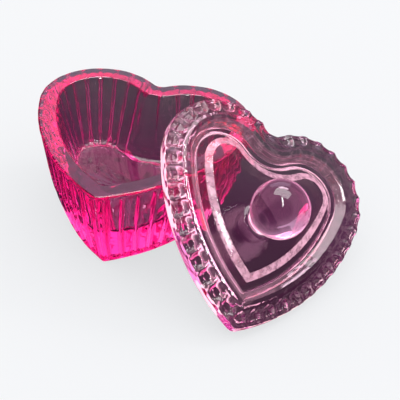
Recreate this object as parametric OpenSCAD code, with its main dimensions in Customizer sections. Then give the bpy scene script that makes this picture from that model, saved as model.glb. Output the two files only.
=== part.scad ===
// Heart-shaped pressed-glass trinket box with its lid off, leaning on the right side of the box.
// Millimetres, +Z up. Origin: centre of the flat foot, on the ground. The tip of the heart points to -Y.
// The outline is a heart of tangent arcs: a tip fillet, two long side arcs, two lobes and a cleft fillet.
// Every ring of both mouldings is that outline moved inwards by an inset and lifted to a height.

/* [Heart outline] */
// Half the distance between the centres of the two lobes
lobe_x = 18.7; // [17:0.1:20.5]
// Radius of each lobe at the rim of the box
lobe_r = 26.3; // [25:0.1:28]
// Radius of the long side arcs that run from the lobes down to the tip
side_r = 87.6; // [80:0.5:100]
// Distance from the line through the lobe centres to the sharp tip
tip_y = 64.8; // [61:0.2:68]
// Fillet radius of the tip at the rim
tip_r = 3.4; // [2.5:0.1:4.5]
// Fillet radius of the cleft at the rim
cleft_r = 4.5; // [3.5:0.1:7]
// How far the lobe centres lie behind the origin, so that the origin is in the middle of the foot
heart_back = 19; // [17:0.5:21]

/* [Box] */
// Height of the box from the ground to the rim
base_h = 41.4; // [39:0.2:46]
// Height at which the wall bends in towards the foot
waist_h = 19.2; // [17:0.2:20]
// Inset of the foot's outline where it meets the ground
foot_inset = 11; // [9.5:0.1:12]
// Inset of the wall at that height
waist_inset = 4.4; // [3.5:0.1:5.5]
// Inset of the inner edge of the rim, which is the wall thickness there
rim_inset = 8.2; // [7.5:0.1:9]
// Height of the floor inside the box
floor_z = 14.2; // [12.6:0.2:16.4]
// Inset of the inner wall where its wide fillet meets the flat of the floor
floor_inset = 21; // [20:0.1:22]

/* [Flutes] */
// Number of flutes on each side of the one on the tip, on the box and on the lid
side_flutes = 19; // [15:1:20]
// Depth of the flutes in the wall of the box
wall_flute = 1.5; // [0.8:0.1:1.8]
// Depth of the scoops in the shoulder of the lid
lid_flute = 1.2; // [0.6:0.1:1.6]

/* [Lid] */
// How far the lid stands out past the rim of the box
lid_over = 0.8; // [0.3:0.1:1.5]
// Height of the plain band round the edge of the lid
band_h = 4.6; // [3.5:0.1:5.2]
// Height of the fluted shoulder above the seat
shoulder_z = 8.1; // [7.6:0.1:9]
// Height of the sunk band inside the shoulder
moat_z = 6; // [5.4:0.1:6.6]
// Height of the raised heart panel in the middle
panel_z = 7.5; // [7.1:0.1:8]
// Depth of the locating lip below the seat
lip_h = 2; // [1.2:0.1:2.4]
// Height of the hollow inside the locating lip, above the seat
hollow_z = 2.2; // [1.2:0.1:2.6]

/* [Knob] */
// Radius of the ball knob
knob_r = 12; // [9.5:0.1:12.5]
// Height of the ball's centre above the seat of the lid
knob_z = 22.6; // [20.6:0.1:24]
// Radius of the short neck under the ball
neck_r = 5.6; // [4.5:0.1:6.5]
// Radius of the neck's flare where it meets the panel
flare_r = 8.6; // [7:0.1:9.5]
// Distance of the knob in front of the line through the lobe centres
knob_y = 19.2; // [17:0.1:21]

/* [Leaning lid] */
// Turn of the lid about its own cross axis, before the other turns
lean_x = 30.4; // [29:0.1:31]
// Turn of the lid about the box's cross axis
lean_y = 28; // [27.8:0.1:30]
// Turn of the lid about the vertical
lean_z = 20.8; // [18:0.1:23]
// Place of the lid's seat, on the line through its lobe centres, to the right of the origin
lean_px = 55.3; // [55:0.1:60]
// The same place, behind the origin
lean_py = -2.4; // [-8:0.1:-1]
// The same place, above the ground
lean_pz = 32.2; // [32.1:0.1:38]

/* [Hidden] */
glass = [0.93, 0.22, 0.55, 0.55];
// Steps along one flute, an even number
flute_steps = 6;
// Radius of the tip inside the box
inner_tip_r = 3;
// Angle facets of the knob
knob_fn = 96;

// --- the outline as arcs -------------------------------------------------------------------------
// Centre of the right-hand side arc: it passes through the sharp tip and touches the lobe inside
tip_p = [0, -tip_y];
lobe_p = [lobe_x, 0];
gap = norm(lobe_p - tip_p);
along = (side_r ^ 2 - (side_r - lobe_r) ^ 2 + gap ^ 2) / (2 * gap);
across = sqrt(side_r ^ 2 - along ^ 2);
gap_dir = (lobe_p - tip_p) / gap;
side_p = tip_p + along * gap_dir + across * [-gap_dir.y, gap_dir.x];

function heading(from, to) = atan2(to.y - from.y, to.x - from.x);
function outer_tip(inset) = max(tip_r - inset, 0.4);
function tip_centre(inset, tip) =
    [0, side_p.y - sqrt((side_r - inset - tip) ^ 2 - side_p.x ^ 2)];
cleft_p = [0, sqrt((lobe_r + cleft_r) ^ 2 - lobe_x ^ 2)];

// The four arcs of the right-hand half for one inset and tip radius, from the tip to the cleft:
// [centre, radius, start angle, end angle]
function arcs(inset, tip) = [
    [tip_centre(inset, tip), tip, -90, heading(side_p, tip_centre(inset, tip))],
    [side_p, side_r - inset, heading(side_p, tip_centre(inset, tip)), heading(side_p, lobe_p)],
    [lobe_p, lobe_r - inset, heading(side_p, lobe_p), heading(lobe_p, cleft_p)],
    [cleft_p, cleft_r + inset, heading(cleft_p, lobe_p), -90]
];
function arc_length(arc) = arc[1] * abs(arc[3] - arc[2]) * PI / 180;
function arc_point(arc, share) =
    arc[0] + arc[1] * [cos(arc[2] + share * (arc[3] - arc[2])), sin(arc[2] + share * (arc[3] - arc[2]))];

// Which arc a distance from the tip falls on, and its share of that arc, measured on one outline
function place(lengths, distance, k = 0) =
    k == 3 || distance <= lengths[k]
    ? [k, min(distance / lengths[k], 1)]
    : place(lengths, distance - lengths[k], k + 1);

// Stations of the right-hand half: [arc, share, flute profile from 0 on a ridge to 1 in the middle].
// The first flute is centred on the tip, and the cleft falls on a ridge.
function half_stations(inset) =
    let (lengths = [for (arc = arcs(inset, outer_tip(inset))) arc_length(arc)])
    let (count = (side_flutes + 0.5) * flute_steps)
    let (step = (lengths[0] + lengths[1] + lengths[2] + lengths[3]) / count)
    [
        for (i = [0:count])
            let (phase = ((i + flute_steps / 2) % flute_steps) / flute_steps)
            concat(place(lengths, i * step), [1 - (2 * phase - 1) ^ 2])
    ];

// A ring is [inset, height, flute inset, flute drop, end, tip radius]: the flute moves its points inwards
// and down, and end trims the flute's sides away, to give it a rounded end
function ring_point(station, ring) =
    let (cut = max(0, station[2] - ring[4]) / (1 - ring[4]))
    let (p = arc_point(arcs(ring[0] + ring[2] * cut, ring[5])[station[0]], station[1]))
    [p.x, p.y + heart_back, ring[1] - ring[3] * cut];
function mirrored(p) = [-p.x, p.y, p.z];
function whole_ring(stations, ring) =
    let (right = [for (s = stations) ring_point(s, ring)])
    let (last = len(right) - 1)
    concat(right, [for (i = [1:last - 1]) mirrored(right[last - i])]);

// Skins a stack of rings, closed at both ends by a fan round a centre point on the symmetry plane
module moulding(stations, rings, start_centre, end_centre) {
    count = 2 * (len(stations) - 1);
    skin = [for (ring = rings) each whole_ring(stations, ring)];
    low = len(rings) * count;
    high = low + 1;
    final = (len(rings) - 1) * count;
    sides = [
        for (k = [0:len(rings) - 2], i = [0:count - 1])
            let (a = k * count + i)
            let (b = k * count + (i + 1) % count)
            each [[a, a + count, b], [b, a + count, b + count]]
    ];
    start_fan = [for (i = [0:count - 1]) [low, i, (i + 1) % count]];
    end_fan = [for (i = [0:count - 1]) [high, final + (i + 1) % count, final + i]];
    polyhedron(
        points = concat(skin, [start_centre, end_centre]),
        faces = concat(start_fan, sides, end_fan),
        convexity = 8
    );
}

// A plain ring, a plain ring inside the box, and a fluted ring
function plain(inset, z) = [inset, z, 0, 0, 0, outer_tip(inset)];
function inner(inset, z) = [inset, z, 0, 0, 0, inner_tip_r];
function fluted(inset, z, deep, drop, end = 0) = [inset, z, deep, drop, end, outer_tip(inset)];

// --- box -----------------------------------------------------------------------------------------
function wall_inset(z) =
    z > waist_h
    ? waist_inset * (base_h - z) / (base_h - waist_h)
    : waist_inset + (foot_inset - waist_inset) * ((waist_h - z) / waist_h) ^ 1.15;
function inner_inset(z) =
    rim_inset + (floor_inset - 4.2 - rim_inset) * (base_h - z) / (base_h - floor_z);

base_rings = [
    // flat underside, with a rounded edge
    plain(foot_inset + 1, 0),
    plain(foot_inset + 0.1, 0.9),
    // fluted wall from the foot to the rim, with rounded ends to the flutes
    fluted(wall_inset(1.8), 1.8, wall_flute * 0.4, 0, 0.5),
    fluted(wall_inset(3), 3, wall_flute * 0.8, 0, 0.2),
    for (z = [5, 10, 15, waist_h, waist_h + 6, waist_h + 12]) fluted(wall_inset(z), z, wall_flute, 0),
    fluted(wall_inset(base_h - 4), base_h - 4, wall_flute, 0),
    fluted(wall_inset(base_h - 2.6), base_h - 2.6, wall_flute * 0.8, 0, 0.2),
    fluted(wall_inset(base_h - 1.4), base_h - 1.4, wall_flute * 0.4, 0, 0.5),
    // rounded rim
    plain(0.1, base_h - 0.8),
    plain(0.4, base_h - 0.3),
    plain(1.3, base_h),
    inner(rim_inset - 1.2, base_h),
    inner(rim_inset - 0.1, base_h - 0.6),
    inner(inner_inset(base_h - 2), base_h - 2),
    // smooth inner wall, with a wide fillet down to the floor
    inner(inner_inset(floor_z + 4.2), floor_z + 4.2),
    inner(floor_inset - 4.5, floor_z + 2.1),
    inner(floor_inset - 2.7, floor_z + 0.7),
    inner(floor_inset, floor_z)
];

module base() {
    middle = heart_back - tip_y / 3;
    color(glass)
    moulding(half_stations(0), base_rings, [0, middle, 0], [0, middle, floor_z]);
}

// --- lid -----------------------------------------------------------------------------------------
// Insets of the lip that drops inside the rim, the shoulder's inner edge, the moat and the panel
lip_out = rim_inset + 0.8;
lip_in = lip_out + 3;
shoulder_in = 8.4;
moat_out = 12.2;
moat_in = 17.2;
panel_in = 20;
bevel_top = 7;

lid_rings = [
    // hollow underside, locating lip and flat seat
    plain(lip_in + 3, hollow_z),
    plain(lip_in + 0.4, hollow_z - 0.8),
    plain(lip_in, 0.4 - lip_h),
    plain(lip_in - 0.5, -lip_h),
    plain(lip_out + 0.5, -lip_h),
    plain(lip_out, 0.4 - lip_h),
    plain(lip_out, 0),
    plain(0.5 - lid_over, 0),
    // plain band round the edge
    plain(-lid_over, 0.5),
    plain(-lid_over, band_h - 0.6),
    // convex shoulder with a row of rounded scoops
    fluted(-lid_over, band_h + 0.1, lid_flute * 0.3, 0, 0.5),
    fluted(-lid_over + 0.2, band_h + 0.9, lid_flute * 0.6, lid_flute * 0.1, 0.15),
    fluted(0.3, band_h + 1.9, lid_flute * 0.7, lid_flute * 0.5),
    fluted(1.9, shoulder_z - 0.8, lid_flute * 0.4, lid_flute * 0.8),
    fluted(3.9, shoulder_z - 0.3, 0, lid_flute * 0.9),
    fluted(bevel_top - 1.4, shoulder_z, 0, lid_flute * 0.6, 0.2),
    fluted(bevel_top - 0.5, shoulder_z, 0, lid_flute * 0.3, 0.5),
    plain(bevel_top + 0.2, shoulder_z),
    plain(shoulder_in, shoulder_z),
    // sunk band and raised panel
    plain(moat_out - 0.6, moat_z + 0.5),
    plain(moat_out + 0.8, moat_z),
    plain(moat_in, moat_z),
    plain(moat_in + 0.8, moat_z + 0.3),
    plain(panel_in - 0.6, panel_z - 0.2),
    plain(panel_in + 0.4, panel_z)
];

// Puts a piece modelled on its seat, tip to -Y, into the leaning pose
module lean() {
    translate([lean_px, lean_py, lean_pz])
    rotate([lean_x, lean_y, lean_z])
    translate([0, -heart_back, 0])
    children();
}

module lid() {
    middle = heart_back - tip_y / 3;
    color(glass)
    lean()
    moulding(
        half_stations(-lid_over), lid_rings, [0, middle, hollow_z], [0, middle, panel_z]);
}

// --- knob ----------------------------------------------------------------------------------------
// Half section of the flared neck and ball, rooted in the panel of the lid
root_z = 4.5;
neck_top = knob_z - sqrt(knob_r ^ 2 - neck_r ^ 2);
flare_z = panel_z + flare_r - neck_r;

module knob() {
    color(glass)
    lean()
    translate([0, heart_back - knob_y, 0]) {
        translate([0, 0, knob_z])
        sphere(r = knob_r, $fn = knob_fn);
        translate([0, 0, root_z])
        cylinder(r = neck_r, h = neck_top + 1 - root_z, $fn = knob_fn);
        translate([0, 0, panel_z - 1])
        cylinder(r1 = flare_r + 1, r2 = neck_r, h = flare_z - panel_z + 1, $fn = knob_fn);
    }
}

base();
lid();
knob();
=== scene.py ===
import math

import bpy
import numpy as np
from mathutils import Matrix, Vector


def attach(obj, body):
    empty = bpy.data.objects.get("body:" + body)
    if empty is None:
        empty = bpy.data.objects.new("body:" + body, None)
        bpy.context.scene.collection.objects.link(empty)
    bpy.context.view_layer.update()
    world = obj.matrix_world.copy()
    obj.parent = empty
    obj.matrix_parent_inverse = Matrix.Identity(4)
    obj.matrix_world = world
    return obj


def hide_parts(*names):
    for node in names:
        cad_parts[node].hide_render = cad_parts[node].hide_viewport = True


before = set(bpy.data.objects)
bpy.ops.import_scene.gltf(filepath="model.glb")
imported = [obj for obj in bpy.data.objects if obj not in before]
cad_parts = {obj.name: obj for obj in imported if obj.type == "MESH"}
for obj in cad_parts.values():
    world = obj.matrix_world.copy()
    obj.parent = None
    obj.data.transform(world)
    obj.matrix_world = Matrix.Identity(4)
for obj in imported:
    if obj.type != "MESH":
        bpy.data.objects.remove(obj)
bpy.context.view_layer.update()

MM = 0.001

# ---------------------------------------------------------------------------------------------------
# The heart outline, in millimetres, as the CAD has it: tip fillet, side arc, lobe and cleft fillet
# ---------------------------------------------------------------------------------------------------
LOBE_X, LOBE_R, SIDE_R, TIP_Y, TIP_R, CLEFT_R = 18.7, 26.3, 87.6, 64.8, 3.4, 4.5
HEART_BACK = 19.0
BASE_H, WAIST_H, FOOT_INSET, WAIST_INSET = 41.4, 19.2, 11.0, 4.4
RIM_INSET, FLOOR_Z, FLOOR_INSET = 8.2, 14.2, 21.0
SIDE_FLUTES, WALL_FLUTE, LID_FLUTE = 19, 1.5, 1.2
LID_OVER, BAND_H, SHOULDER_Z, MOAT_Z, PANEL_Z = 0.8, 4.6, 8.1, 6.0, 7.5
LIP_H, HOLLOW_Z = 2.0, 2.2
KNOB_R, KNOB_Z, NECK_R, FLARE_R, KNOB_Y = 12.0, 22.6, 5.6, 8.6, 19.2
LEAN = (30.4, 28.0, 20.8)
LEAN_AT = (55.3, -2.4, 32.2)
SHARPEST_TIP = 0.4
CENTRE_Y = -1.0  # where the fans that close the undersides and the tray's floor meet

_gap = math.hypot(LOBE_X, TIP_Y)
_along = (SIDE_R**2 - (SIDE_R - LOBE_R) ** 2 + _gap**2) / (2 * _gap)
_across = math.sqrt(SIDE_R**2 - _along**2)
_ux, _uy = LOBE_X / _gap, TIP_Y / _gap
SIDE_X = _along * _ux - _across * _uy
SIDE_Y = -TIP_Y + _along * _uy + _across * _ux
CLEFT_Y = math.sqrt((LOBE_R + CLEFT_R) ** 2 - LOBE_X**2)


def arcs(inset, tip=None):
    """The right-hand half's four arcs as (centre x, centre y, radius, start, end), for one inset or an array.
    tip is the fillet radius at the heart's tip, and without one the fillet shrinks with the inset."""
    inset = np.asarray(inset, float)
    zero = np.zeros_like(inset)
    corner = np.maximum(TIP_R - inset if tip is None else tip, SHARPEST_TIP)
    tip_y = SIDE_Y - np.sqrt((SIDE_R - inset - corner) ** 2 - SIDE_X**2)
    turn0 = np.arctan2(tip_y - SIDE_Y, zero - SIDE_X)
    turn1 = math.atan2(-SIDE_Y, LOBE_X - SIDE_X) + zero
    turn2 = math.atan2(CLEFT_Y, -LOBE_X) + zero
    turn3 = math.atan2(-CLEFT_Y, LOBE_X) + zero
    quarter = -math.pi / 2 + zero
    return [
        (zero, tip_y, corner + zero, quarter, turn0),
        (SIDE_X + zero, SIDE_Y + zero, SIDE_R - inset, turn0, turn1),
        (LOBE_X + zero, zero, LOBE_R - inset, turn1, turn2),
        (zero, CLEFT_Y + zero, CLEFT_R + inset, turn3, quarter),
    ]


def stations(inset, steps):
    """Stations of the whole outline from the tip round to the tip, steps to a flute: arc, share of the arc,
    side and flute phase (-1..1). The first flute is centred on the tip, and the cleft falls on a ridge."""
    lengths = [float(a[2] * abs(a[4] - a[3])) for a in arcs(inset)]
    count = int((SIDE_FLUTES + 0.5) * steps)
    step = sum(lengths) / count
    arc, share, phase = [], [], []
    for i in range(count + 1):
        s, k = i * step, 0
        while k < 3 and s > lengths[k]:
            s -= lengths[k]
            k += 1
        arc.append(k)
        share.append(min(s / lengths[k], 1.0))
        phase.append(2 * ((i + steps // 2) % steps) / steps - 1)

    def both(values):
        return np.array(values + values[-2:0:-1])

    return {
        "arc": both(arc),
        "share": both(share),
        "side": np.array([1.0] * (count + 1) + [-1.0] * (count - 1)),
        "phase": both(phase),
        "pitch": step * steps,
    }


def outline(st, inset, tip):
    """Points of one ring. inset is one number or one per station, tip the fillet radius at the tip."""
    inset = np.broadcast_to(np.asarray(inset, float), st["share"].shape)
    x = np.zeros_like(inset)
    y = np.zeros_like(inset)
    for k, (cx, cy, r, a0, a1) in enumerate(arcs(inset, tip)):
        here = st["arc"] == k
        a = (a0 + st["share"] * (a1 - a0))[here]
        x[here] = (cx + 0 * inset)[here] + r[here] * np.cos(a)
        y[here] = (cy + 0 * inset)[here] + r[here] * np.sin(a)
    return x * st["side"], y + HEART_BACK


# ---------------------------------------------------------------------------------------------------
# Profiles: a section drawn as corners with fillets, sampled finely enough for smooth glass
# ---------------------------------------------------------------------------------------------------
def section(corners, step, arc_step, hold=0.12):
    """corners: (inset, z, fillet radius, tip radius). Returns rows of (inset, z, tip radius), at most step
    apart on the straights and arc_step degrees apart on the fillets."""
    out = []

    def add(p, tip):
        if not out or math.hypot(p[0] - out[-1][0], p[1] - out[-1][1]) > 0.02:
            out.append((p[0], p[1], tip))

    last_end = np.array(corners[0][:2], float)
    last_tip = corners[0][3]
    add(last_end, last_tip)

    def straight(a, b, ta, tb):
        a, b = np.array(a), np.array(b)
        d = np.linalg.norm(b - a)
        if d < 1e-6:
            return
        marks = [0.0, hold / d] if d > 3 * hold else [0.0]
        n = max(1, int(math.ceil(d / step)))
        marks += [i / n for i in range(1, n)]
        if d > 3 * hold:
            marks.append(1 - hold / d)
        marks.append(1.0)
        for m in sorted(marks):
            add(a + m * (b - a), ta + m * (tb - ta))

    for i in range(1, len(corners) - 1):
        p0, p1, p2 = (np.array(corners[i + k][:2], float) for k in (-1, 0, 1))
        r, tip = corners[i][2], corners[i][3]
        u, v = p0 - p1, p2 - p1
        lu, lv = np.linalg.norm(u), np.linalg.norm(v)
        u, v = u / lu, v / lv
        angle = math.acos(float(np.clip(u @ v, -1, 1)))
        reach = min(r / math.tan(angle / 2), 0.47 * lu, 0.47 * lv)
        r = reach * math.tan(angle / 2)
        start, end = p1 + u * reach, p1 + v * reach
        straight(last_end, start, last_tip, tip)
        centre = p1 + (u + v) / np.linalg.norm(u + v) * (r / math.sin(angle / 2))
        a0 = math.atan2(*(start - centre)[::-1])
        turn = math.pi - angle
        cross = u[0] * v[1] - u[1] * v[0]
        sign = 1.0 if cross < 0 else -1.0
        n = max(2, int(math.ceil(math.degrees(turn) / arc_step)))
        for j in range(1, n + 1):
            a = a0 + sign * turn * j / n
            add(centre + r * np.array([math.cos(a), math.sin(a)]), tip)
        last_end, last_tip = end, tip
    straight(last_end, corners[-1][:2], last_tip, corners[-1][3])
    return np.array(out)


def scoop(rows, st, first, last, deep, side, round_end, sharp):
    """Depth of the flutes on every ring and station, from the first row to the last. side is the width of a
    flute's side as a share of its half width, round_end the length of its round ends as a share of the same,
    and sharp how far its edge is a crease."""
    run = np.concatenate([[0], np.cumsum(np.hypot(np.diff(rows[:, 0]), np.diff(rows[:, 1])))])
    start, stop = run[first], run[last]
    half = st["pitch"] / 2
    x = np.abs(st["phase"])[None, :] * half
    r = half * round_end
    past = np.maximum(np.maximum(start + r - run, run - (stop - r)), 0)[:, None] / round_end
    edge = (half - np.hypot(x, past)) / (half * side)
    q = np.clip(edge, 0, 1)
    smooth = 0.5 - 0.5 * np.cos(math.pi * q)
    hollow = 1 - (1 - q) ** 2
    depth = deep * (sharp * hollow + (1 - sharp) * smooth)
    return depth * (np.abs(st["phase"]) < 1)


def normals_of(rows):
    """Unit normals of the section, pointing into the glass of an outer face (towards more inset)."""
    d = np.gradient(rows[:, :2], axis=0)
    d /= np.maximum(np.linalg.norm(d, axis=1), 1e-9)[:, None]
    return np.stack([d[:, 1], -d[:, 0]], 1)


def waves(points, seed, size, amount):
    """A gentle waviness, as pressed glass has, as one offset per point."""
    rng = np.random.default_rng(seed)
    total = np.zeros(len(points))
    for _ in range(10):
        k = rng.normal(size=3)
        k *= rng.uniform(0.6, 1.6) * 2 * math.pi / size / np.linalg.norm(k)
        total += np.sin(points @ k + rng.uniform(0, 2 * math.pi))
    return total * amount / 3


def skin(rings, low, high):
    """Points and faces of a stack of rings of n points each, closed by fans round the low and high points."""
    n = len(rings[0])
    count = n * len(rings)
    i = np.arange(n)
    j = (i + 1) % n
    quads = []
    for a in range(0, count - n, n):
        quads.append(np.stack([a + i, a + j, a + n + j, a + n + i], 1))
    faces = np.concatenate(quads).tolist()
    faces += [[count, int(b), int(a)] for a, b in zip(i, j)]
    top = count - n
    faces += [[count + 1, int(top + a), int(top + b)] for a, b in zip(i, j)]
    return np.concatenate([*rings, [low, high]]), faces


WAVE_SIZE = 7.0


def make(name, verts, faces, materials, seed, ripple, satin=()):
    """One smooth object in metres, from points in metres. ripple is the waviness in millimetres, and satin
    lists (material slot, first face, end face)."""
    mesh = bpy.data.meshes.new(name)
    mesh.from_pydata(verts.tolist(), [], faces)
    mesh.validate()
    mesh.update()
    mesh.polygons.foreach_set("use_smooth", [True] * len(mesh.polygons))
    normals = np.empty(3 * len(mesh.vertices))
    mesh.vertices.foreach_get("normal", normals)
    lift = waves(verts / MM, seed, WAVE_SIZE, ripple) * MM
    mesh.vertices.foreach_set("co", (verts + normals.reshape(-1, 3) * lift[:, None]).ravel())
    mesh.update()
    for m in materials:
        mesh.materials.append(m)
    for slot, first, last in satin:
        for k in range(first, last):
            mesh.polygons[k].material_index = slot
    obj = bpy.data.objects.new(name, mesh)
    bpy.context.scene.collection.objects.link(obj)
    return obj


# ---------------------------------------------------------------------------------------------------
# Materials
# ---------------------------------------------------------------------------------------------------
POLISHED, FROSTED = 0.015, 0.08
BOX_PINK, BOX_DENSITY = (0.985, 0.05, 0.72, 1), 45.0
LID_PINK, LID_DENSITY = (0.985, 0.08, 0.84, 1), 21.0
FROST_PINK = (0.95, 0.50, 0.66, 1)
FROST_GRAIN = 420.0
SURFACE_TINT = (1.0, 0.94, 0.97, 1)


def glass_material(name, rough, density, tint):
    """Clear glass whose colour deepens with the way that light goes through it."""
    m = bpy.data.materials.new(name)
    m.use_nodes = True
    nt = m.node_tree
    nt.nodes.clear()
    out = nt.nodes.new("ShaderNodeOutputMaterial")
    bsdf = nt.nodes.new("ShaderNodeBsdfPrincipled")
    bsdf.inputs["Base Color"].default_value = SURFACE_TINT
    bsdf.inputs["Roughness"].default_value = rough
    bsdf.inputs["IOR"].default_value = 1.5
    bsdf.inputs["Transmission Weight"].default_value = 1.0
    nt.links.new(bsdf.outputs["BSDF"], out.inputs["Surface"])
    vol = nt.nodes.new("ShaderNodeVolumeAbsorption")
    vol.inputs["Color"].default_value = tint
    vol.inputs["Density"].default_value = density
    nt.links.new(vol.outputs["Volume"], out.inputs["Volume"])
    return m


def satin_material(name, share):
    """The same glass where the mould left it frosted: part of the light is scattered at the surface."""
    m = glass_material(name, FROSTED, LID_DENSITY, LID_PINK)
    nt = m.node_tree
    out = nt.nodes["Material Output"]
    bsdf = nt.nodes["Principled BSDF"]
    frost = nt.nodes.new("ShaderNodeBsdfDiffuse")
    frost.inputs["Color"].default_value = FROST_PINK
    glow = nt.nodes.new("ShaderNodeBsdfTranslucent")
    glow.inputs["Color"].default_value = FROST_PINK
    both = nt.nodes.new("ShaderNodeMixShader")
    both.inputs[0].default_value = 0.35
    place = nt.nodes.new("ShaderNodeTexCoord")
    mottle = nt.nodes.new("ShaderNodeTexNoise")
    mottle.inputs["Scale"].default_value = FROST_GRAIN
    mottle.inputs["Detail"].default_value = 3.0
    amount = nt.nodes.new("ShaderNodeMapRange")
    amount.inputs["From Min"].default_value, amount.inputs["From Max"].default_value = 0.35, 0.65
    amount.inputs["To Min"].default_value, amount.inputs["To Max"].default_value = 0.6 * share, 1.25 * share
    nt.links.new(place.outputs["Object"], mottle.inputs["Vector"])
    nt.links.new(mottle.outputs["Fac"], amount.inputs["Value"])
    mix = nt.nodes.new("ShaderNodeMixShader")
    nt.links.new(amount.outputs[0], mix.inputs[0])
    nt.links.new(frost.outputs[0], both.inputs[1])
    nt.links.new(glow.outputs[0], both.inputs[2])
    nt.links.new(bsdf.outputs[0], mix.inputs[1])
    nt.links.new(both.outputs[0], mix.inputs[2])
    nt.links.new(mix.outputs[0], out.inputs["Surface"])
    return m


box_clear = glass_material("pink_pressed_glass", POLISHED, BOX_DENSITY, BOX_PINK)
lid_clear = glass_material("pink_pressed_glass_lid", POLISHED, LID_DENSITY, LID_PINK)
panel_step = satin_material("pink_frosted_step", 0.38)
moat_slope = satin_material("pink_frosted_slope", 0.09)


# ---------------------------------------------------------------------------------------------------
# The box
# ---------------------------------------------------------------------------------------------------
def wall_inset(z):
    """How far the outer wall is in from the rim's outline: straight to the waist, then curved to the foot."""
    if z > WAIST_H:
        return WAIST_INSET * (BASE_H - z) / (BASE_H - WAIST_H)
    return WAIST_INSET + (FOOT_INSET - WAIST_INSET) * ((WAIST_H - z) / WAIST_H) ** 1.15


def build_box():
    """The box: underside, foot, fluted wall, flat rim, sloping tray wall, wide fillet and floor."""
    st = stations(0.0, 14)
    inner_low = FLOOR_INSET - 4.2
    corners = [
        (22.0, 0.0, 0, 0.5),
        (FOOT_INSET + 0.3, 0.0, 0.9, 0.8),
    ]
    corners += [(wall_inset(z), z, 6.0, max(TIP_R - wall_inset(z), 0.8)) for z in (3.0, 8.0, 13.5)]
    corners += [
        (WAIST_INSET, WAIST_H, 14.0, 1.2),
        (0.15, BASE_H - 0.4, 0.8, 3.2),
        (0.9, BASE_H, 0.8, 3.2),
        (RIM_INSET - 0.5, BASE_H, 1.0, 3.0),
        (RIM_INSET + 0.4, BASE_H - 1.6, 1.6, 3.0),
        (inner_low - 0.3, FLOOR_Z + 0.6, 3.6, 3.2),
        (FLOOR_INSET - 0.6, FLOOR_Z, 3.0, 3.0),
        (FLOOR_INSET + 2.0, FLOOR_Z, 0, 2.2),
    ]
    rows = section(corners, step=0.75, arc_step=13)
    rim = int(np.argmax(rows[:, 1] > BASE_H - 0.01))
    order = np.arange(len(rows))
    outer = (rows[:, 0] < FOOT_INSET) & (order < rim)
    first = int(np.argmax((rows[:, 1] > 1.2) & outer))
    last = int(np.argmax((rows[:, 1] > BASE_H - 1.7) & outer))
    depth = scoop(rows, st, first, last, WALL_FLUTE, side=0.36, round_end=0.55, sharp=0.35)
    nrm = normals_of(rows)
    # the fillet between the tray's wall and its floor rises and falls a little with the flutes
    ripple = 0.3 * np.clip(1 - np.abs(rows[:, 1] - FLOOR_Z - 2.0) / 2.2, 0, 1) * (order > rim)
    rings = []
    for i, (inset, z, tip) in enumerate(rows):
        x, y = outline(st, inset + depth[i] * max(nrm[i, 0], 0.0), tip)
        rings.append(np.stack([x, y, z + ripple[i] * np.cos(math.pi * st["phase"])], 1))
    verts, faces = skin(rings, (0, CENTRE_Y, rows[0, 1]), (0, CENTRE_Y, rows[-1, 1]))
    return make("box_glass", verts * MM, faces, [box_clear], seed=3, ripple=0.04)


# ---------------------------------------------------------------------------------------------------
# The lid with its ball knob
# ---------------------------------------------------------------------------------------------------
def lean_matrix():
    """The lid's pictured place: leaning on the rim with its tip on the table."""
    turn = Matrix.Identity(4)
    for axis, angle in zip("XYZ", LEAN):
        turn = Matrix.Rotation(math.radians(angle), 4, axis) @ turn
    return Matrix.Translation(Vector(LEAN_AT) * MM) @ turn


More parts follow.
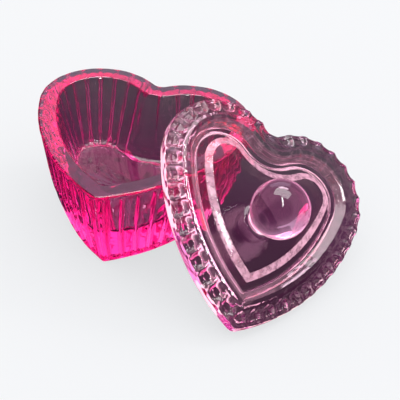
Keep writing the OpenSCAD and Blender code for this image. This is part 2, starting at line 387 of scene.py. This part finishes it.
def build_lid():
    """The lid: hollow, lip, seat, band, scooped shoulder, moat, step, panel, neck and ball."""
    st = stations(-LID_OVER, 12)
    lip_out = RIM_INSET + 0.8
    lip_in = lip_out + 3.0
    corners = [
        (lip_in + 6.0, HOLLOW_Z, 0, 0.8),
        (lip_in + 0.9, HOLLOW_Z, 1.2, 0.8),
        (lip_in, -LIP_H, 0.6, 1.0),
        (lip_out, -LIP_H, 0.6, 1.2),
        (lip_out, 0.0, 0.3, 1.2),
        (-LID_OVER, 0.0, 0.7, 4.2),
        (-LID_OVER, BAND_H, 0.6, 4.2),
        (-LID_OVER + 0.9, BAND_H + 1.9, 1.6, 3.6),
        (2.6, SHOULDER_Z - 0.8, 3.0, 2.4),
        (5.5, SHOULDER_Z - 0.55, 1.2, 1.4),
        (6.9, SHOULDER_Z + 0.15, 0.9, 1.2),
        (8.5, SHOULDER_Z, 0.5, 1.0),
        (9.5, SHOULDER_Z - 0.55, 0.2, 1.0),
        (9.65, SHOULDER_Z - 0.7, 0.1, 1.0),
        (10.9, SHOULDER_Z - 1.3, 0.2, 0.9),
        (11.05, SHOULDER_Z - 1.45, 0.1, 0.9),
        (12.4, MOAT_Z, 0.6, 0.8),
        (16.2, MOAT_Z, 0.4, 0.6),
        (16.6, MOAT_Z + 0.3, 0.2, 0.6),
        (17.0, MOAT_Z + 0.4, 0.2, 0.6),
        (18.9, PANEL_Z - 0.1, 0.8, 0.5),
        (19.8, PANEL_Z, 0.7, 0.5),
        (21.4, PANEL_Z, 0, 0.45),
    ]
    rows = section(corners, step=0.9, arc_step=15)
    first = int(np.argmax((rows[:, 1] > BAND_H - 1.3) & (rows[:, 0] < 1)))
    last = int(np.argmax((rows[:, 1] > 7.0) & (rows[:, 0] > 5.2)))
    depth = scoop(rows, st, first, last, LID_FLUTE * 1.4, side=0.6, round_end=0.9, sharp=0.7)
    # the crest inside the scoops is nicked between them
    crest = np.clip(1 - np.abs(rows[:, 0] - 6.4) / 1.9, 0, 1) * (rows[:, 1] > HOLLOW_Z + 0.3)
    nick = (1 - np.cos(math.pi * st["phase"])) / 2 * (np.abs(st["phase"]) < 1)
    depth += 0.22 * crest[:, None] * nick[None, :]
    nrm = normals_of(rows)
    rings = []
    for i, (inset, z, tip) in enumerate(rows):
        x, y = outline(st, inset + depth[i] * nrm[i, 0], tip)
        rings.append(np.stack([x, y, z + depth[i] * nrm[i, 1]], 1))
    # the panel narrows to the round flare of the neck, and the neck carries the ball
    cy = HEART_BACK - KNOB_Y
    edge = rings[-1]
    angle = np.arctan2(edge[:, 1] - cy, edge[:, 0])
    reach = np.hypot(edge[:, 0], edge[:, 1] - cy)

    def circle(r, z):
        rings.append(np.stack([r * np.cos(angle), cy + r * np.sin(angle), z + 0 * angle], 1))

    for w in (0.3, 0.6, 0.85, 0.97):
        circle((1 - w) * reach + w * (FLARE_R + 0.6), PANEL_Z)
    sweep = FLARE_R - NECK_R
    circle(FLARE_R + 0.3, PANEL_Z)
    for degrees in range(0, 91, 11):
        t = math.radians(degrees)
        circle(FLARE_R - sweep * math.sin(t), PANEL_Z + sweep * (1 - math.cos(t)))
    neck_top = math.asin(NECK_R / KNOB_R) + 0.10
    ball_top = math.pi - 0.06
    for t in np.linspace(neck_top, ball_top, 34):
        circle(KNOB_R * math.sin(t), KNOB_Z - KNOB_R * math.cos(t))
    verts, faces = skin(rings, (0, CENTRE_Y, rows[0, 1]), (0, cy, KNOB_Z + KNOB_R))
    n = len(rings[0])
    middles = (rows[1:] + rows[:-1]) / 2
    step = np.nonzero((middles[:, 0] > 16.1) & (middles[:, 0] < 19.0) & (middles[:, 1] > MOAT_Z - 0.1))[0]
    slope = np.nonzero((middles[:, 0] > 8.6) & (middles[:, 0] < 12.2) & (middles[:, 1] > MOAT_Z + 0.1))[0]
    satin = [(1, step[0] * n, (step[-1] + 1) * n), (2, slope[0] * n, (slope[-1] + 1) * n)]
    materials = [lid_clear, panel_step, moat_slope]
    # the ball is turned true, so the waviness ends just above the panel
    ripple = 0.03 * np.clip(PANEL_Z + 1 - verts[:, 2], 0, 1)
    verts = (verts - [0, HEART_BACK, 0]) * MM
    obj = make("lid_glass", verts, faces, materials, seed=8, ripple=ripple, satin=satin)
    obj.data.transform(lean_matrix())
    return obj


box_glass = build_box()
lid_glass = build_lid()
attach(box_glass, "box")
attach(lid_glass, "lid")
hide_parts("base")
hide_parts("lid", "knob")

# ---------------------------------------------------------------------------------------------------
# Stage. Only to the camera are the floor and the ground plain and pale. What the glass mirrors and bends
# into view is set apart from that: a darker, tinted floor, a studio of its own, and lamps that light
# nothing but the glass. Most of the purple in the clear parts comes from this stage and not from the
# glass, which is far paler on a floor that is plain for every ray.
# ---------------------------------------------------------------------------------------------------
scene = bpy.context.scene
PALE = (0.922, 0.930, 0.947, 1)
FLOOR_FRONT, FLOOR_BACK = -0.08, 0.25  # the stretch along Y, in metres, over which the floor's tone runs


def floor_material():
    """Pale to camera rays only. To all other rays it is dark, with painted shade that makes it darkest and
    purple under the lid and greyer round it, by how far back the place is, and a faint painted purple glow."""
    m = bpy.data.materials.new("floor")
    m.use_nodes = True
    nt = m.node_tree
    nt.nodes.clear()
    out = nt.nodes.new("ShaderNodeOutputMaterial")
    path = nt.nodes.new("ShaderNodeLightPath")
    pale = nt.nodes.new("ShaderNodeBsdfDiffuse")
    pale.inputs["Color"].default_value = (0.27, 0.272, 0.276, 1)
    lift = nt.nodes.new("ShaderNodeEmission")
    lift.inputs["Color"].default_value = PALE
    lift.inputs["Strength"].default_value = 0.728
    seen = nt.nodes.new("ShaderNodeAddShader")
    dark = nt.nodes.new("ShaderNodeBsdfDiffuse")
    place = nt.nodes.new("ShaderNodeTexCoord")
    split = nt.nodes.new("ShaderNodeSeparateXYZ")
    reach = nt.nodes.new("ShaderNodeMapRange")
    reach.inputs["From Min"].default_value, reach.inputs["From Max"].default_value = FLOOR_FRONT, FLOOR_BACK
    # painted shade: to rays through the glass the floor is darkest and purple where the lid leans, lighter in
    # front and behind
    floor_tone_and_painted_shade = nt.nodes.new("ShaderNodeValToRGB")
    e = floor_tone_and_painted_shade.color_ramp.elements
    e[0].color = (0.16, 0.10, 0.14, 1)
    e[1].color = (0.24, 0.21, 0.24, 1)
    e.new(0.12).color = (0.10, 0.055, 0.085, 1)
    e.new(0.24).color = (0.075, 0.022, 0.060, 1)
    e.new(0.33).color = (0.060, 0.026, 0.052, 1)
    e.new(0.42).color = (0.060, 0.050, 0.060, 1)
    e.new(0.65).color = (0.10, 0.095, 0.10, 1)
    nt.links.new(place.outputs["Object"], split.inputs[0])
    nt.links.new(split.outputs["Y"], reach.inputs["Value"])
    nt.links.new(reach.outputs[0], floor_tone_and_painted_shade.inputs["Fac"])
    nt.links.new(floor_tone_and_painted_shade.outputs["Color"], dark.inputs["Color"])
    # painted light: the floor glows faint purple in front of and under the lid, fading to a faint grey
    # further back
    glow = nt.nodes.new("ShaderNodeEmission")
    painted_glow_tone = nt.nodes.new("ShaderNodeValToRGB")
    painted_glow_tone.color_ramp.elements[0].position = 0.36
    painted_glow_tone.color_ramp.elements[0].color = (0.034, 0.006, 0.026, 1)
    painted_glow_tone.color_ramp.elements[1].position = 0.50
    painted_glow_tone.color_ramp.elements[1].color = (0.006, 0.012, 0.010, 1)
    nt.links.new(reach.outputs[0], painted_glow_tone.inputs["Fac"])
    nt.links.new(painted_glow_tone.outputs["Color"], glow.inputs["Color"])
    under = nt.nodes.new("ShaderNodeAddShader")
    nt.links.new(dark.outputs[0], under.inputs[0])
    nt.links.new(glow.outputs[0], under.inputs[1])
    mix = nt.nodes.new("ShaderNodeMixShader")
    nt.links.new(pale.outputs[0], seen.inputs[0])
    nt.links.new(lift.outputs[0], seen.inputs[1])
    nt.links.new(path.outputs["Is Camera Ray"], mix.inputs[0])
    nt.links.new(under.outputs[0], mix.inputs[1])
    nt.links.new(seen.outputs[0], mix.inputs[2])
    nt.links.new(mix.outputs[0], out.inputs["Surface"])
    return m


def build_floor(half=6.0, drop=0.0003):
    """A wide square just under the object, so that the two never share a face."""
    mesh = bpy.data.meshes.new("floor")
    corners = [(-half, -half, -drop), (half, -half, -drop), (half, half, -drop), (-half, half, -drop)]
    mesh.from_pydata(corners, [], [(0, 1, 2, 3)])
    mesh.materials.append(floor_material())
    obj = bpy.data.objects.new("floor", mesh)
    scene.collection.objects.link(obj)
    return obj


floor = build_floor()


def sky(nt, height, stops):
    """A background whose colour goes with the height of the direction. stops are (height, r, g, b)."""
    low, high = stops[0][0], stops[-1][0]
    reach = nt.nodes.new("ShaderNodeMapRange")
    reach.inputs["From Min"].default_value, reach.inputs["From Max"].default_value = low, high
    nt.links.new(height, reach.inputs["Value"])
    ramp = nt.nodes.new("ShaderNodeValToRGB")
    nt.links.new(reach.outputs[0], ramp.inputs["Fac"])
    e = ramp.color_ramp.elements
    for k, (h, *c) in enumerate(stops):
        n = e[0] if k == 0 else e[-1] if k == len(stops) - 1 else e.new((h - low) / (high - low))
        n.color = (*c, 1)
    back = nt.nodes.new("ShaderNodeBackground")
    nt.links.new(ramp.outputs["Color"], back.inputs["Color"])
    return back


def build_world():
    """What the camera sees is a plain pale ground. What the glass mirrors is a dim studio, and what it bends
    into view is a bright one, dark low down, with a dark flag on the right."""
    world = bpy.data.worlds.new("studio")
    scene.world = world
    world.use_nodes = True
    nt = world.node_tree
    nt.nodes.clear()
    out = nt.nodes.new("ShaderNodeOutputWorld")
    path = nt.nodes.new("ShaderNodeLightPath")
    coord = nt.nodes.new("ShaderNodeTexCoord")

    def along(direction):
        dot = nt.nodes.new("ShaderNodeVectorMath")
        dot.operation = "DOT_PRODUCT"
        dot.inputs[1].default_value = direction
        nt.links.new(coord.outputs["Generated"], dot.inputs[0])
        return dot.outputs["Value"]

    height = along((0.12, 0.16, 1.0))
    # the flag keeps the lid's panel dark: it hangs where the panel's underside mirrors the studio
    flag = nt.nodes.new("ShaderNodeMapRange")
    flag.interpolation_type = "SMOOTHSTEP"
    flag.inputs["From Min"].default_value, flag.inputs["From Max"].default_value = 0.95, 0.988
    flag.inputs["To Min"].default_value, flag.inputs["To Max"].default_value = 1.0, 0.08
    nt.links.new(along((0.72, 0.24, 0.65)), flag.inputs["Value"])
    mirrored = sky(
        nt,
        height,
        ((-0.2, 0.08, 0.08, 0.08), (0.5, 0.12, 0.12, 0.12), (1.05, 0.4, 0.4, 0.4)),
    )
    through = sky(
        nt,
        height,
        (
            (-0.1, 0.06, 0.05, 0.05),
            (0.05, 0.34, 0.27, 0.26),
            (0.25, 0.85, 0.68, 0.63),
            (0.55, 1.0, 0.80, 0.74),
            (1.05, 1.0, 0.84, 0.82),
        ),
    )
    shaded = nt.nodes.new("ShaderNodeMath")
    shaded.operation = "MULTIPLY"
    shaded.inputs[1].default_value = 2.0
    nt.links.new(flag.outputs[0], shaded.inputs[0])
    nt.links.new(shaded.outputs[0], through.inputs["Strength"])
    pale = nt.nodes.new("ShaderNodeBackground")
    pale.inputs["Color"].default_value = PALE
    seen = nt.nodes.new("ShaderNodeMath")
    seen.operation = "MAXIMUM"
    nt.links.new(path.outputs["Is Camera Ray"], seen.inputs[0])
    nt.links.new(path.outputs["Is Diffuse Ray"], seen.inputs[1])
    studio = nt.nodes.new("ShaderNodeMixShader")
    nt.links.new(path.outputs["Is Transmission Ray"], studio.inputs[0])
    nt.links.new(mirrored.outputs[0], studio.inputs[1])
    nt.links.new(through.outputs[0], studio.inputs[2])
    mix = nt.nodes.new("ShaderNodeMixShader")
    nt.links.new(seen.outputs[0], mix.inputs[0])
    nt.links.new(studio.outputs[0], mix.inputs[1])
    nt.links.new(pale.outputs[0], mix.inputs[2])
    nt.links.new(mix.outputs[0], out.inputs["Surface"])


build_world()

glass_only = bpy.data.collections.new("glass_only")
for piece in (box_glass, lid_glass):
    glass_only.objects.link(piece)
floor_only = bpy.data.collections.new("floor_only")
floor_only.objects.link(floor)


def area(name, at, size, radiance, receivers, mirrored=True, through=False, color=(1, 1, 1)):
    """A soft rectangular lamp aimed at the object, by the brightness of its face. It lights receivers and
    nothing else, and mirrored and through say if the glass shows the lamp itself."""
    light = bpy.data.lights.new(name, "AREA")
    light.shape = "RECTANGLE"
    light.size, light.size_y = size
    light.energy = radiance * math.pi * size[0] * size[1]
    light.color = color
    o = bpy.data.objects.new(name, light)
    scene.collection.objects.link(o)
    o.location = at
    o.rotation_euler = (MIDDLE - Vector(at)).to_track_quat("-Z", "Y").to_euler()
    o.light_linking.receiver_collection = receivers
    o.visible_glossy, o.visible_transmission = mirrored, through


MIDDLE = Vector((0.033, -0.011, 0.025))
area("tube", (0.26, -0.43, 0.92), (0.07, 0.70), 30.0, glass_only)
area("overhead", (0.06, 0.20, 1.05), (1.0, 0.6), 6.0, glass_only)
area("overhead_back", (0.0, 0.60, 0.96), (0.5, 0.22), 15.0, glass_only, color=(1.0, 0.74, 0.9))
area("back_card", (-0.28, 1.05, 0.80), (1.1, 0.6), 1.3, glass_only, color=(1.0, 0.8, 1.12))
area("fill_right", (1.05, -0.62, 0.18), (0.6, 0.6), 32.0, glass_only, mirrored=False)
area("fill_left", (-0.9, 0.3, 0.6), (0.6, 0.6), 1.5, glass_only, mirrored=False)
area("shade", (0.80, 0.62, 0.80), (0.35, 0.35), 4.5, floor_only, through=True)

CAM_AZ, CAM_EL, CAM_ROLL, CAM_DIST = 13.88, 36.72, 3.74, 0.7414
CAM_AIM = Vector((0.03336, -0.01138, 0.025))
az, el = math.radians(CAM_AZ), math.radians(CAM_EL)
back = Vector((math.sin(az) * math.cos(el), -math.cos(az) * math.cos(el), math.sin(el)))
right = (-back).cross(Vector((0, 0, 1))).normalized()
up = right.cross(-back)
roll = math.radians(CAM_ROLL)
right, up = right * math.cos(roll) + up * math.sin(roll), up * math.cos(roll) - right * math.sin(roll)
cam_data = bpy.data.cameras.new("camera")
cam_data.lens, cam_data.sensor_width = 165.3, 36.0
cam = bpy.data.objects.new("camera", cam_data)
scene.collection.objects.link(cam)
cam.matrix_world = Matrix.Translation(CAM_AIM + back * CAM_DIST) @ Matrix(
    (right, up, back)
).transposed().to_4x4()
scene.camera = cam

scene.view_settings.view_transform = "Standard"
scene.cycles.max_bounces = 24
scene.cycles.transmission_bounces = 24
scene.cycles.glossy_bounces = 12
scene.cycles.diffuse_bounces = 3
scene.cycles.caustics_reflective = False
scene.cycles.caustics_refractive = False

bpy.context.view_layer.update()
